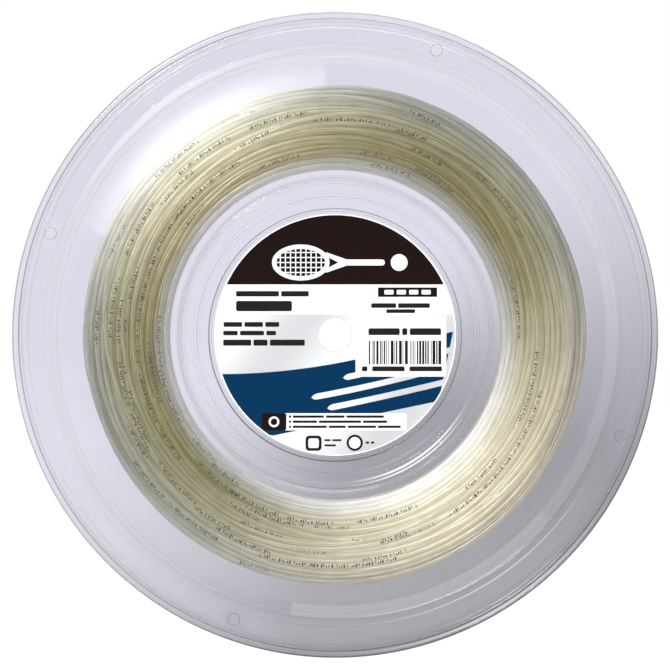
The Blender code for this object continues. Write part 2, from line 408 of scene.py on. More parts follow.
def clear_plastic(name, tint=0.990, haze=0.011, edge=0.5, shine=0.9, glare=False, hub_soft=True):
    """Clear moulded styrene: nearly see-through face on, smoky and shiny on steep edges.

    tint and edge are how much passes face on and edge on, haze the milky share, shine the
    strength of the gloss. glare adds the front flange's painted shade rings and painted
    reflections; hub_soft keeps every step soft but the outermost rim and the hole mouths.
    """
    net = SpindleNodes(name)
    position = net.object_position()
    radius = net.radius
    steep = net.steepness()
    # the gloss is weaker over the hub
    strong = net.times(shine, net.plus(0.22, net.times(net.smooth(radius, 0.046, 0.066), 0.78)))
    reflects = net.plus(0.03, net.times(strong, net.math("POWER", steep, 4.0)))
    flow = net.noise(position, scale=55.0, detail=3.0, rough=0.55)
    fine = net.noise(position, scale=900.0, detail=2.0, rough=0.5)

    def wall(passes):
        """Filter colour from face on to edge on, where the given share passes."""
        return net.ramp(steep, [
            (0.0, (tint, tint, min(1.0, tint * 1.006))), (0.12, (tint * 0.992,) * 3),
            (0.5, (tint * (0.5 + 0.5 * passes),) * 3),
            (1.0, (passes, passes, min(1.0, passes * 1.04)))])

    surface = net.smooth(net.math("ABSOLUTE", net.y), 0.0154, 0.0160)    # outer faces only
    hub_wall = net.mix(surface, wall(max(edge, 0.975)), wall(max(edge, 0.50)))
    soft_wall = net.mix(net.smooth(radius, 0.046, 0.068), hub_wall, wall(max(edge, 0.84)))
    rim = net.smooth(radius, 0.0799, 0.0803) if hub_soft else 1.0
    colour = net.mix(rim, soft_wall, wall(edge))
    if hub_soft:
        mouths = net.window(rise=(0.07355, 0.07365), fall=(0.0775, 0.0776))
        colour = net.mix(mouths, colour, wall(0.05))
    if glare:
        # painted shade rings on the hub face and at the label recess edge
        colour = painted_hub_step_shade(net, colour, surface, wall)
    # painted shade: the outermost edge is darkened where the light leaves it, at the lower right
    painted_brink_shade = net.times(net.smooth(radius, 0.08035, 0.08060),
                      net.lobe(centre=300, half=80, flat=20))
    colour = net.mix(net.times(painted_brink_shade, 0.62), colour, (0.10, 0.10, 0.11))
    clear = net.transparent(colour)
    # the milky part of the plastic, a little stronger on steep walls
    milk = srgb(226, 225, 238)
    diffuse = net.add("ShaderNodeBsdfDiffuse", {"Color": milk, "Roughness": 0.5}).outputs[0]
    translucent = net.add("ShaderNodeBsdfTranslucent", {"Color": milk}).outputs[0]
    body = net.mix_shaders(0.5, diffuse, translucent)
    milky = net.times(haze, net.plus(0.75, net.times(flow, 0.5)))
    milky = net.plus(milky, net.times(net.math("POWER", steep, 2.0), 0.06))
    if glare:
        # the thicker root of the flange, milky just outside the barrel
        root = net.invert(net.smooth(radius, 0.0418, 0.0450))
        root = net.times(root, net.smooth(radius, 0.0413, 0.0417))
        milky = net.plus(milky, net.times(root, 0.14))
    base = net.mix_shaders(milky, clear, body)
    gloss = net.add("ShaderNodeBsdfGlossy", {
        "Color": (1, 1, 1), "Roughness": net.plus(0.05, net.times(fine, 0.05)),
        "Normal": net.bump(flow, strength=0.06, distance=0.0004)}).outputs[0]
    shader = net.mix_shaders(reflects, base, gloss)
    if glare:
        # painted reflections and glints, emitted from the front face
        shader = net.add_shaders(shader, painted_front_reflections(net))
    return net.finish(net.for_shadows(shader, passes=0.965))


# ------------------------------------------------------------------ string nylon
NYLON_GAIN = 0.87                       # how bright the nylon is against its target tone
KEY_ANGLE = 124                         # direction of the key light about the spindle, degrees
# nylon tones, and painted light tones, as (share of the way from barrel to outer turns, sRGB
# colour)
# away from the light: milky at the barrel, deepest olive further out, greyer at the edge
TONES_PLAIN = ((0.06, (150, 150, 140)), (0.28, (130, 122, 80)),
               (0.62, (145, 142, 112)), (0.93, (145, 145, 138)))
# painted light where the key light comes in: tan inside, cream further out
PAINTED_LIGHT_TONES_UPPER = ((0.06, (170, 168, 160)), (0.18, (160, 150, 115)),
               (0.62, (205, 200, 175)), (0.90, (210, 208, 198)))
# painted light where that light gathers opposite: near white inside, dull at the outermost turn
PAINTED_LIGHT_TONES_LOWER = ((0.10, (230, 228, 220)), (0.32, (210, 204, 182)),
               (0.78, (200, 193, 168)), (0.93, (165, 157, 140)))


def nylon_colour_with_painted_light(net, position, face):
    """Olive to cream tones of the winding, the cream being painted light towards and opposite the
    key light, broken up by fine lines along the string.
    """
    radius, angle = net.radius, net.angle
    across = net.math("DIVIDE", net.minus(radius, 0.0412), 0.0218, clamp=True)

    def toned(stops):
        return net.ramp(across, [
            (share, tuple(min(0.98, max(0.0, (c - 0.02) * NYLON_GAIN)) for c in srgb(*rgb)))
            for share, rgb in stops])

    outside = tuple(channel * NYLON_GAIN for channel in srgb(196, 192, 164))
    colour = net.mix(face, outside, toned(TONES_PLAIN))
    # painted light: lighter tones towards the key light and opposite it, on the faces
    colour = net.mix(net.times(net.lobe(centre=127, half=64), face), colour, toned(PAINTED_LIGHT_TONES_UPPER))
    colour = net.mix(net.times(net.lobe(centre=308, half=84, flat=4), face), colour,
                     toned(PAINTED_LIGHT_TONES_LOWER))
    cloud = net.noise(position, scale=160.0, detail=3.0, rough=0.6)
    # strands deeper in the winding, seen through the nearer ones
    drawn = net.add("ShaderNodeCombineXYZ", {
        "X": net.plus(net.times(radius, 2400.0), net.times(net.y, 1500.0)),
        "Y": net.times(net.math("COSINE", angle), 5.0),
        "Z": net.times(net.math("SINE", angle), 5.0)}).outputs[0]
    streak = net.smooth(net.noise(drawn, scale=1.0, detail=2.0, rough=0.5), 0.30, 0.70)
    tone = net.plus(net.times(cloud, 0.35), net.times(streak, 0.65))
    contrast = net.mix(tone, (0.80, 0.80, 0.77), (1.18, 1.18, 1.20))
    return net.mix(1.0, colour, contrast, "MULTIPLY")


def painted_strand_glints(net, position, face):
    """Strength of the painted glints, fine light lines: a strong one on one flank, a faint one on
    the other.
    """
    normal = net.separate(net.geometry["Normal"])
    place = net.separate(net.geometry["Position"])
    flank = net.math("DIVIDE", net.plus(net.times(normal["X"], place["X"]),
                                        net.times(normal["Z"], place["Z"])), net.radius)
    toward = net.times(net.math("COSINE", net.minus(net.angle, math.radians(KEY_ANGLE))), 0.42)
    outer_away = net.math("ABSOLUTE", net.minus(flank, 0.46))
    inner_away = net.math("ABSOLUTE", net.plus(flank, 0.50))
    outer = net.times(net.invert(net.smooth(outer_away, 0.02, 0.17)), net.plus(0.58, toward))
    inner = net.times(net.invert(net.smooth(inner_away, 0.02, 0.17)), net.minus(0.58, toward))
    patchy = net.smooth(net.noise(position, scale=230.0, detail=2.0, rough=0.6), 0.36, 0.66)
    lines = net.times(net.plus(outer, inner), net.plus(0.25, net.times(patchy, 0.75)))
    lit_sides = net.math("MAXIMUM", net.lobe(centre=140, half=80), net.lobe(centre=300, half=90))
    where = net.plus(0.30, net.times(lit_sides, 0.70))
    return net.times(net.times(lines, face), net.times(where, 0.70))


def string_material(name):
    """Translucent nylon: olive in its depth, with painted light: cream tones, glints and an
    emitted glow where light gathers inside the winding.
    """
    net = SpindleNodes(name)
    position = net.object_position()
    # painted light: the faces against the flanges get the painted tones, glints and glow, the
    # turned outside of the winding is plainer
    near_flange = net.smooth(net.math("ABSOLUTE", net.y), 0.0098, 0.0122)
    face = net.plus(0.22, net.times(near_flange, 0.78))
    colour = nylon_colour_with_painted_light(net, position, face)
    surface = net.add("ShaderNodeBsdfPrincipled", {
        "Base Color": colour, "Roughness": 0.16, "IOR": 1.53, "Specular IOR Level": 0.6})
    translucent = net.add("ShaderNodeBsdfTranslucent", {"Color": colour}).outputs[0]
    see_through = net.transparent((1.0, 0.99, 0.94))
    lines = painted_strand_glints(net, position, face)
    # colour of the painted glints
    glint = net.mix(0.75, colour, (1.0, 0.99, 0.95))
    # painted glow: emission standing in for light that has wandered inside the strands, so the
    # gaps between them are never dark
    painted_inner_glow = net.emission(colour, net.plus(0.16, net.times(face, 0.26)))
    glow = net.add_shaders(painted_inner_glow, net.emission(glint, lines))
    body = net.mix_shaders(0.18, surface.outputs[0], translucent)
    lit = net.add_shaders(body, glow)
    side = net.math("POWER", net.steepness(), 2.0)
    through = net.plus(0.04, net.times(side, 0.35))
    return net.finish(net.for_shadows(net.mix_shaders(through, lit, see_through), passes=0.87))


# ------------------------------------------------------------------ paper and ink
def paper(name, colour_a, colour_b, roughness=0.38, gradient=None):
    """Coated printing paper: faint fibre, slight unevenness of the ink."""
    net = Nodes(bpy.data.materials.new(name))
    position = net.object_position()
    fibre = net.noise(position, scale=900.0, detail=4.0, rough=0.6)
    cloud = net.noise(position, scale=45.0, detail=2.0, rough=0.5)
    uneven = net.plus(net.times(fibre, 0.5), net.times(cloud, 0.5))
    # a gradient colours the whole sheet itself
    colour = gradient(net, position) if gradient else net.mix(uneven, colour_a, colour_b)
    surface = net.add("ShaderNodeBsdfPrincipled", {
        "Base Color": colour, "Roughness": roughness, "Specular IOR Level": 0.05,
        "Normal": net.bump(fibre, strength=0.12, distance=0.00002)})
    return net.finish(surface.outputs[0])


def silver(net, position):
    """The label's silver ground: soft slanting waves of grey and near white."""
    place = net.separate(position)
    slant = net.plus(net.times(place["X"], 0.72), net.times(place["Z"], -0.55))
    wave = net.math("SINE", net.times(slant, 210.0))
    return net.mix(net.plus(0.55, net.times(wave, 0.45)), srgb(196, 197, 200), srgb(240, 240, 240))


M_FLANGE = clear_plastic("clear_flange_plastic", glare=True)
M_REAR = clear_plastic("clear_rear_plastic", edge=0.26)
M_CORE = clear_plastic("clear_core_plastic", tint=0.997, haze=0.004, edge=0.98, shine=0.06)
M_STRING = string_material("string_nylon")
M_TAPE = clear_plastic("tape_film", tint=0.975, haze=0.06, edge=0.9, shine=0.25, hub_soft=False)
M_WHITE = paper("label_white", srgb(250, 250, 250), srgb(255, 255, 255))
M_BLACK = paper("label_black", srgb(26, 16, 15), srgb(32, 21, 19), roughness=0.34)
M_SILVER = paper("label_silver", srgb(220, 220, 220), srgb(230, 230, 230), roughness=0.30,
                 gradient=silver)
M_NAVY = paper("label_navy", srgb(2, 47, 82), srgb(5, 52, 89), roughness=0.30)
M_STICKER = paper("sticker_white", srgb(250, 250, 250), srgb(255, 255, 255), roughness=0.5)
M_MARK = paper("string_print", srgb(66, 68, 56), srgb(92, 94, 80), roughness=0.5)
M_MARK_DARK = paper("string_print_dark", srgb(32, 32, 20), srgb(54, 54, 38), roughness=0.5)
M_INK = paper("sticker_ink", srgb(24, 22, 22), srgb(40, 38, 38), roughness=0.45)

# ------------------------------------------------------------------ flanges
EDGE = FLANGE_RADIUS / MM
TOP = FLANGE_HEIGHT / MM
# section corners: radius, height, fillet, in mm
FLANGE_SECTION = [
    (4.3, 16.4, 0.25), (31.5, 16.4, 0.12), (31.5, 17.5, 0.30), (34.5, 17.5, 0.2),
    (34.75, 17.25, 0.2), (35.95, 17.25, 0.2), (36.2, 17.5, 0.2), (38.4, 17.5, 0.35),
    (38.8, 17.1, 0.3), (41.5, 17.1, 0.6), (44.2, 16.7, 2.2), (67.8, 16.45, 1.2),
    (70.85, 16.95, 0.25), (71.15, 17.5, 0.35), (72.75, 17.5, 0.45), (73.25, 17.0, 0.35),
    (78.0, 17.0, 0.45), (78.75, TOP, 0.8), (EDGE, TOP, 1.0), (EDGE, 15.0, 0.8),
    (77.7, 15.0, 0.0), (73.8, 15.0, 0.0), (39.3, 15.0, 0.15), (39.3, 12.2, 0.1),
    (39.75, 11.6, 0.15), (39.75, 11.0, 0.15), (39.3, 10.2, 0.1), (39.1, 9.6, 0.2),
    (37.9, 9.6, 0.3), (37.9, 15.0, 0.3), (8.2, 15.0, 0.3), (8.2, 12.6, 0.3),
    (6.6, 12.6, 0.2), (6.6, 15.0, 0.1), (4.3, 15.0, 0.2),
]
FLANGE_SEGMENTS = 192
LAND_INNER, LAND_OUTER = 73.8 * MM, 77.4 * MM       # the flat ring near the rim
LAND_TOP, LAND_BOTTOM = 17.0 * MM, 15.0 * MM
HOLE_ANGLES = (70.4, 160.4, 250.4, 340.4)           # degrees
HOLE_CIRCLE_RADIUS, HOLE_RADIUS = 75.6 * MM, 1.45 * MM
HOLE_LIP = 0.30 * MM
HOLE_SEGMENTS = 28


def land_points(section, height, low, high):
    return [i for i, (radius, at) in enumerate(section)
            if abs(at - height) < 1e-7 and low * MM < radius < high * MM]


def spin(verts, faces, chain, side):
    """Turn an open chain of points; returns the rings at its first and last points."""
    base, count = len(verts), len(chain)
    for j in range(FLANGE_SEGMENTS):
        angle = TAU * j / FLANGE_SEGMENTS
        verts += [ring_point(radius, angle, side * height) for radius, height in chain]
    starts = [base + j * count for j in range(FLANGE_SEGMENTS)]
    for j, here in enumerate(starts):
        there = starts[(j + 1) % FLANGE_SEGMENTS]
        faces += [(here + i, here + i + 1, there + i + 1, there + i) for i in range(count - 1)]
    return starts, [start + count - 1 for start in starts]


def hole_wall(verts, faces, angle, side):
    """A hole's wall with rounded lips; returns its rings on the two faces of the land."""
    angle = math.radians(angle)
    centre_x = HOLE_CIRCLE_RADIUS * math.cos(angle)
    centre_z = HOLE_CIRCLE_RADIUS * math.sin(angle)
    lip = []
    for k in range(4):
        turn = math.pi / 2 * k / 3
        lip.append((HOLE_RADIUS + HOLE_LIP * (1 - math.sin(turn)),
                    HOLE_LIP * (1 - math.cos(turn))))
    profile = [(radius, LAND_TOP - drop) for radius, drop in lip]
    profile += [(radius, LAND_BOTTOM + drop) for radius, drop in reversed(lip)]
    rings = []
    for radius, height in profile:
        rings.append(list(range(len(verts), len(verts) + HOLE_SEGMENTS)))
        for j in range(HOLE_SEGMENTS):
            turn = TAU * j / HOLE_SEGMENTS
            verts.append((centre_x + radius * math.cos(turn), side * height,
                          centre_z + radius * math.sin(turn)))
    for upper, lower in zip(rings, rings[1:]):
        for j in range(HOLE_SEGMENTS):
            k = (j + 1) % HOLE_SEGMENTS
            faces.append((upper[j], lower[j], lower[k], upper[k]))
    return rings[0], rings[-1]


def loop_edges(loops):
    """Edges that close each loop, numbered through the joined list of points."""
    edges, start = [], 0
    for loop in loops:
        count = len(loop)
        edges += [(start + j, start + (j + 1) % count) for j in range(count)]
        start += count
    return edges


def fill_land(verts, faces, loops, angles):
    """Triangulate one face of the land between its outer and inner rings, round the holes."""
    ids = [i for loop in loops for i in loop]
    points = [Vector((verts[i][0] / MM, verts[i][2] / MM)) for i in ids]
    result = geometry.delaunay_2d_cdt(points, loop_edges(loops), [], 0, 1e-6)
    flat_points, triangles, sources = result[0], result[2], result[3]
    back = [ids[source[0]] if source else None for source in sources]
    centres = [Vector((HOLE_CIRCLE_RADIUS / MM * math.cos(math.radians(angle)),
                       HOLE_CIRCLE_RADIUS / MM * math.sin(math.radians(angle))))
               for angle in angles]
    hole_reach = (HOLE_RADIUS + HOLE_LIP) / MM * 0.985
    inner_limit = LAND_INNER * math.cos(math.pi / FLANGE_SEGMENTS) - 1e-7
    for triangle in triangles:
        middle = sum((flat_points[i] for i in triangle), Vector((0, 0))) / len(triangle)
        if not inner_limit <= middle.length * MM <= LAND_OUTER:
            continue
        if any((middle - centre).length < hole_reach for centre in centres):
            continue
        if any(back[i] is None for i in triangle):
            continue
        faces.append(tuple(back[i] for i in triangle))


def flange(name, side, angles, material):
    """A turned flange whose land is left open, then filled round holes at the given angles."""
    section = fillet(FLANGE_SECTION)
    top_cut = land_points(section, LAND_TOP, low=73.3, high=77.9)
    bottom_cut = land_points(section, LAND_BOTTOM, low=73.0, high=78.2)
    hub_chain = ([(LAND_INNER, LAND_BOTTOM)] + section[bottom_cut[-1] + 1:]
                 + section[:top_cut[0]] + [(LAND_INNER, LAND_TOP)])
    rim_chain = ([(LAND_OUTER, LAND_TOP)] + section[top_cut[-1] + 1:bottom_cut[0]]
                 + [(LAND_OUTER, LAND_BOTTOM)])
    verts, faces = [], []
    hub_bottom, hub_top = spin(verts, faces, hub_chain, side)
    rim_top, rim_bottom = spin(verts, faces, rim_chain, side)
    holes = [hole_wall(verts, faces, angle, side) for angle in angles]
    fill_land(verts, faces, [rim_top, hub_top] + [top for top, _ in holes], angles)
    fill_land(verts, faces, [rim_bottom, hub_bottom] + [low for _, low in holes], angles)
    return bmesh_object(name, verts, faces, material, recalculate=True)


front = flange("front_flange_turned", -1.0, HOLE_ANGLES, M_FLANGE)
rear = flange("rear_flange_turned", 1.0, (), M_REAR)
attach(front, "reel", replaces="front_flange")
attach(rear, "reel", replaces="rear_flange")

# ------------------------------------------------------------------ hub core
BARREL = BARREL_RADIUS / MM
CORE_END = CORE_HEIGHT / MM
# inside wall of the barrel on the +Y half: radius, height, fillet, in mm
INNER_WALL = [(39.6, 0.8, 0.5), (39.6, 9.9, 0.1), (40.1, 10.6, 0.15), (40.1, 12.0, 0.15),
              (39.6, 12.7, 0.1), (39.6, CORE_END, 0.25)]
CORE_SECTION = (
    [(6.3, 0.8, 0.5)] + INNER_WALL + [(BARREL, CORE_END, 0.25), (BARREL, -CORE_END, 0.25)]
    + [(radius, -height, size) for radius, height, size in reversed(INNER_WALL)]
    + [(6.3, -0.8, 0.5), (6.3, -CORE_END, 0.25), (4.3, -CORE_END, 0.25),
       (4.3, CORE_END, 0.25), (6.3, CORE_END, 0.25)])
core = lathe("hub_core_turned", fillet(CORE_SECTION), M_CORE)
attach(core, "reel", replaces="hub_core")

# ------------------------------------------------------------------ string winding
FIRST_LAYER = BARREL_RADIUS + 0.3 * MM + STRING_RADIUS      # centre line of the innermost layer
LAST_LAYER = WINDING_RADIUS - STRING_RADIUS                 # and of the outermost one
LAYERS = 17
LAYER_PITCH = (LAST_LAYER - FIRST_LAYER) / (LAYERS - 1)
FACE_Y = WINDING_HEIGHT - STRING_RADIUS                     # strands pressed on the flange
LEVEL_Y = FACE_Y - 0.60 * MM            # leaves room for the strands that cross the face
STRING_WIDTH = 2 * STRING_RADIUS
TURNS = 2 * LEVEL_Y / STRING_WIDTH                          # turns in one layer
STEPS = 84                                                  # points per turn
STRAND_SIDES = 9
STRAND_RADIUS = STRING_RADIUS * 0.985
BULGE = 0.85 * MM                       # outer layers near the flanges, past the middle


def wander(cosine, sine, frequency, depth):
    return noise.noise(Vector((cosine * frequency, sine * frequency, depth)))


def centre_line():
    """The string wound to and fro, climbing one layer at each flange.

    Rows are angle, radius, y and layer.
    """
    rng = random.Random(7)
    for _ in range(LAYERS + 1):         # skipped draws: they set where the sequence starts
        rng.random()
    rows = []
    first_turn = rng.random()
    phase = 0.0
    for layer in range(LAYERS):
        level = FIRST_LAYER + layer * LAYER_PITCH
        direction = 1 if layer % 2 == 0 else -1
        turns = TURNS - 0.35 + 0.7 * rng.random()
        count = int(turns * STEPS)
        climb = int(STEPS * (0.22 + 0.28 * rng.random()))
        loose = min(1.0, layer / 3.0)
        settle = 1.0 if layer < LAYERS - 1 else 0.5
        for k in range(count):
            y = (-1 + 2 * (k / count)) * LEVEL_Y * direction
            radius = level
            if layer and k < climb:
                radius = level - LAYER_PITCH * 0.5 * (1 - k / climb) ** 2
            left = count - k
            if layer < LAYERS - 1 and left < climb:
                radius = level + LAYER_PITCH * 0.5 * (1 - left / climb) ** 2
            angle = TAU * (first_turn + phase + k / STEPS)
            cosine, sine = math.cos(angle), math.sin(angle)
            side = y / LEVEL_Y
            # neighbours wander together, so the noise changes slowly from layer to layer
            slow = wander(cosine, sine, 0.9, layer * 0.16 + 3.0 + side * 0.4)
            quick = wander(cosine, sine, 1.9, layer * 0.62 + 9.0 + side * 1.3)
            sideways = wander(cosine, sine, 1.6, layer * 0.5 + k / STEPS * 0.21 + 20.0)
            radius += (0.60 * slow + 0.55 * quick) * MM * loose * settle
            y = (y * (1 - 0.012 * abs(sideways))
                 + 0.42 * MM * sideways * (1 - abs(side) ** 6))
            rows.append((angle, radius, y, layer))
        phase += count / STEPS
    return np.array(rows)


def frames(line):
    """Points, tangents, outward and sideways directions along rows of (angle, radius, y)."""
    cosine, sine = np.cos(line[:, 0]), np.sin(line[:, 0])
    points = np.stack([line[:, 1] * cosine, line[:, 2], line[:, 1] * sine], 1)
    tangents = np.gradient(points, axis=0)
    tangents /= np.linalg.norm(tangents, axis=1)[:, None]
    radial = np.stack([cosine, np.zeros(len(line)), sine], 1)
    sideways = np.cross(tangents, radial)
    sideways /= np.linalg.norm(sideways, axis=1)[:, None]
    return points, tangents, np.cross(sideways, tangents), sideways


line = centre_line()
lean = np.clip((np.abs(line[:, 2]) - 8.8 * MM) / (3.2 * MM), 0.0, 1.0)
lean = lean * lean * (3 - 2 * lean)
# climbing strands stand slightly proud of each other, never past the faces of the winding
line[:, 2] = np.clip(line[:, 2], -FACE_Y, FACE_Y)
line[:, 1] = (np.clip(line[:, 1], FIRST_LAYER - 0.0001, LAST_LAYER)
              + BULGE * lean * (line[:, 3] / (LAYERS - 1)) ** 1.5)
POINTS, TANGENTS, OUTWARD, SIDEWAYS = frames(line)


def crossings(side, count, seed):
    """Turns that slipped: each rises over its neighbours, drifts across them and sinks."""
    rng = random.Random(seed)
    runs = []
    for k in range(count):
        start = TAU * (k + rng.uniform(-0.3, 0.3)) / count + (0.0 if side < 0 else 0.4)
        span = math.radians(rng.uniform(55, 125))
        radius_from = rng.uniform(FIRST_LAYER + 1.6 * MM, LAST_LAYER - 1.6 * MM)
        radius_to = radius_from + rng.choice((-1, 1)) * rng.uniform(1.3, 4.4) * MM
        radius_to = max(FIRST_LAYER + 1.0 * MM, min(LAST_LAYER - 0.9 * MM, radius_to))
        steps = int(STEPS * span / TAU * 1.3)
        run = []
        for j in range(steps + 1):
            share = j / steps
            ease = share * share * (3 - 2 * share)
            lift = math.sin(math.pi * share) ** 0.6
            y = side * (FACE_Y - 0.04 * MM - (1.9 * MM) * (1 - lift))
            run.append((start + span * share,
                        radius_from + (radius_to - radius_from) * ease, y))
        runs.append(np.array(run))
    return runs


# outer turns that stand out: middle and half span in degrees, height in mm before scaling
LOOSE_TURNS = ((168, 44, 1.15), (182, 30, 0.62), (150, 34, 0.50), (280, 30, 0.95),
               (262, 26, 0.45), (2, 26, 0.85), (352, 34, 0.35), (75, 26, 0.35))
LOOSE_SCALE = 0.6


def loose_turns(side, seed):
    """A few outer turns that bulge a little past the rest where the winding ends unevenly."""
    rng = random.Random(seed)
    runs = []
    for middle, half, out in LOOSE_TURNS:
        steps = int(STEPS * half * 2 / 360 * 1.3)
        out *= LOOSE_SCALE
        top = FACE_Y - rng.uniform(0.2, 1.7) * MM
        run = []
        for j in range(steps + 1):
            share = j / steps
            lift = math.sin(math.pi * share) ** 1.3
            run.append((math.radians(middle - half + 2 * half * share),
                        LAST_LAYER + BULGE - 0.25 * MM + (out - 0.05) * MM * lift,
                        side * (top - 0.9 * MM * (1 - lift))))
        runs.append(np.array(run))
    return runs


def kept_runs(keep):
    """Start and end of each stretch of kept points more than four long."""
    runs, start = [], None
    for i, kept in enumerate(keep):
        if kept and start is None:
            start = i
        if start is not None and (not kept or i == len(keep) - 1):
            if i - start > 4:
                runs.append((start, i))
            start = None
    return runs


def strands(name, keep=(), extra=()):
    """Capped tubes along every run of kept centre-line points and every extra run."""
    parts = [(POINTS[a:b], OUTWARD[a:b], SIDEWAYS[a:b]) for a, b in kept_runs(keep)]
    for run in extra:
        points, _, outward, sideways = frames(run)
        parts.append((points, outward, sideways))
    cosines = np.cos(np.arange(STRAND_SIDES) * TAU / STRAND_SIDES)[None, :, None]
    sines = np.sin(np.arange(STRAND_SIDES) * TAU / STRAND_SIDES)[None, :, None]
    blocks, faces, total = [], [], 0
    for points, outward, sideways in parts:
        rings = (points[:, None, :] + STRAND_RADIUS * (cosines * outward[:, None, :]
                                                       + sines * sideways[:, None, :]))
        blocks.append(rings.reshape(-1, 3))
        faces += tube_faces(total, len(points), STRAND_SIDES)
        total += len(points) * STRAND_SIDES
    return bmesh_object(name, np.concatenate(blocks), faces, M_STRING)


layer_of, line_y = line[:, 3], line[:, 2]
inner = layer_of < 1
outer = layer_of >= LAYERS - 2
between = ~(inner | outer)
FACE_START = LEVEL_Y - 1.9 * STRING_WIDTH       # only strands near the flanges are built
front_slips = crossings(-1, count=26, seed=5)
pieces = [
    strands("winding_front_face", between & (line_y < -FACE_START)),
    strands("winding_rear_face", between & (line_y > FACE_START)),
    strands("winding_front_crossings", extra=front_slips + loose_turns(-1, seed=31)),
    strands("winding_rear_crossings",
            extra=crossings(1, count=20, seed=8) + loose_turns(1, seed=32)),
    strands("winding_outer_layers", outer),
    strands("winding_inner_layer", inner),
]

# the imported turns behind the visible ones
PACKED_END = WINDING_HEIGHT / MM - 2.6
PACKED_INNER, PACKED_OUTER = FIRST_LAYER / MM + 0.2, LAST_LAYER / MM - 1.0
PACKED_SECTION = [(PACKED_INNER, PACKED_END, 0.4), (PACKED_INNER, -PACKED_END, 0.4),
                  (PACKED_OUTER, -PACKED_END, 0.4), (PACKED_OUTER, PACKED_END, 0.4)]
pieces.append(lathe("winding_packed_turns", fillet(PACKED_SECTION), M_STRING, segments=128))
for piece in pieces:
    attach(piece, "reel")
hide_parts("string_winding")        # the outer layers

# ------------------------------------------------------------------ marks printed along the string
DASH_GAPS = (0.56, 0.68, 1.20, 0.60, 0.86)              # mm along the string
DASH_ARCS = ((-40, 38), (-40, 8), (-10, 38), (-26, 28))     # degrees round the strand
DASH_DEPTHS = (-0.012 * MM, 0.014 * MM)                 # back and front, from the surface
GROUP_SPACING = 3.1 * MM


def dash(verts, faces, centre, tangent, normal, half_width, arc):
    """A thin curved plate wrapped over an arc of the strand."""
    across = np.cross(tangent, normal)
    base = len(verts)
    for end in (-1, 1):
        for k in range(5):
            angle = math.radians(arc[0] + (arc[1] - arc[0]) * k / 4)
            for depth in DASH_DEPTHS:
                out = normal * math.cos(angle) + across * math.sin(angle)
                verts.append(tuple(centre + tangent * (end * half_width)
                                   + out * (STRAND_RADIUS + depth)))
    for k in range(4):
        p0, p1 = base + 2 * k, base + 2 * (k + 1)
        q0, q1 = p0 + 10, p1 + 10
        faces += [(p0 + 1, p1 + 1, q1 + 1, q0 + 1), (p0, q0, q1, p1),
                  (p0, p1, p1 + 1, p0 + 1), (q0, q0 + 1, q1 + 1, q1)]
    faces += [(base, base + 1, base + 11, base + 10), (base + 8, base + 18, base + 19, base + 9)]


def print_marks(name, groups, side, runs=(), material=M_MARK):
    """Groups of short plain dashes printed on the strand tops that face one flange."""
    # jobs: points, tangents, first point, number of dashes, distance between points
    jobs = list(runs)
    for radius, degrees, dashes in groups:
        angle = math.radians(degrees)
        target = np.array(ring_point(radius, angle, side * LEVEL_Y))
        distance = (((POINTS - target) ** 2).sum(1)
                    + ((POINTS[:, 1] - side * LEVEL_Y) ** 2) * 3)
        jobs.append((POINTS, TANGENTS, int(np.argmin(distance)), dashes, TAU * radius / STEPS))
    # neighbouring groups never start level with each other, and each has its own spacing
    starts, kept = [], []
    for job in jobs:
        start = job[0][job[2]]
        if all(np.linalg.norm(start - other) > GROUP_SPACING for other in starts):
            starts.append(start)
            kept.append(job)
    facing = np.array([0.0, side, 0.0])
    verts, faces = [], []
    for number, (points, tangents, first, dashes, step) in enumerate(kept):
        along = 0.0
        for k in range(dashes):
            along += DASH_GAPS[(k * (2 + number % 3) + dashes + number) % 5] * MM
            place = first + along / step
            i = int(place)
            if i + 1 >= len(points):
                break
            share = place - i
            centre = points[i] * (1 - share) + points[i + 1] * share
            tangent = tangents[i]
            normal = facing - tangent * float(facing @ tangent)
            normal /= np.linalg.norm(normal)
            half_width = (0.13 + 0.06 * ((k * 3 + number) % 4 == 0)) * MM
            arc = DASH_ARCS[(k * 5 + dashes + number * 3) % 4]
            dash(verts, faces, centre, tangent, normal, half_width, arc)
    return bmesh_object(name, verts, faces, material, recalculate=True, flip=False, smooth=False)


def mark_groups(seed, count, start, end):
    """Groups (radius, degrees, dashes) scattered between two directions."""
    rng = random.Random(seed)
    groups = []
    for k in range(count):
        degrees = start + (end - start) * (k + rng.uniform(0.1, 0.9)) / count
        radius = FIRST_LAYER + (LAST_LAYER - FIRST_LAYER) * rng.uniform(0.12, 0.93)
        for _ in range(rng.choice((1, 1, 2))):
            groups.append((radius, degrees, rng.choice((12, 15, 20))))
            degrees += rng.uniform(17.0, 24.0)
    return groups


def slip_marks(slips, seed, start, end, inside_share, outside_share):
    """Print on the strands that cross the face, close together between two directions."""
    rng = random.Random(seed)
    jobs = []
    for run in slips:
        points, tangents = frames(run)[:2]
        step = float(np.linalg.norm(points[1:] - points[:-1], axis=1).mean())
        place = len(run) * 0.13 + rng.uniform(0.0, 2.0)
        while place < len(run) * 0.82:
            dashes = rng.choice((11, 14, 18))
            degrees = math.degrees(run[int(place), 0]) % 360.0
            chance = inside_share if start <= degrees <= end else outside_share
            if rng.random() < chance:
                jobs.append((points, tangents, int(place), dashes, step))
            place += (dashes * 0.70 * MM + rng.uniform(2.5, 7.5) * MM) / step
    return jobs


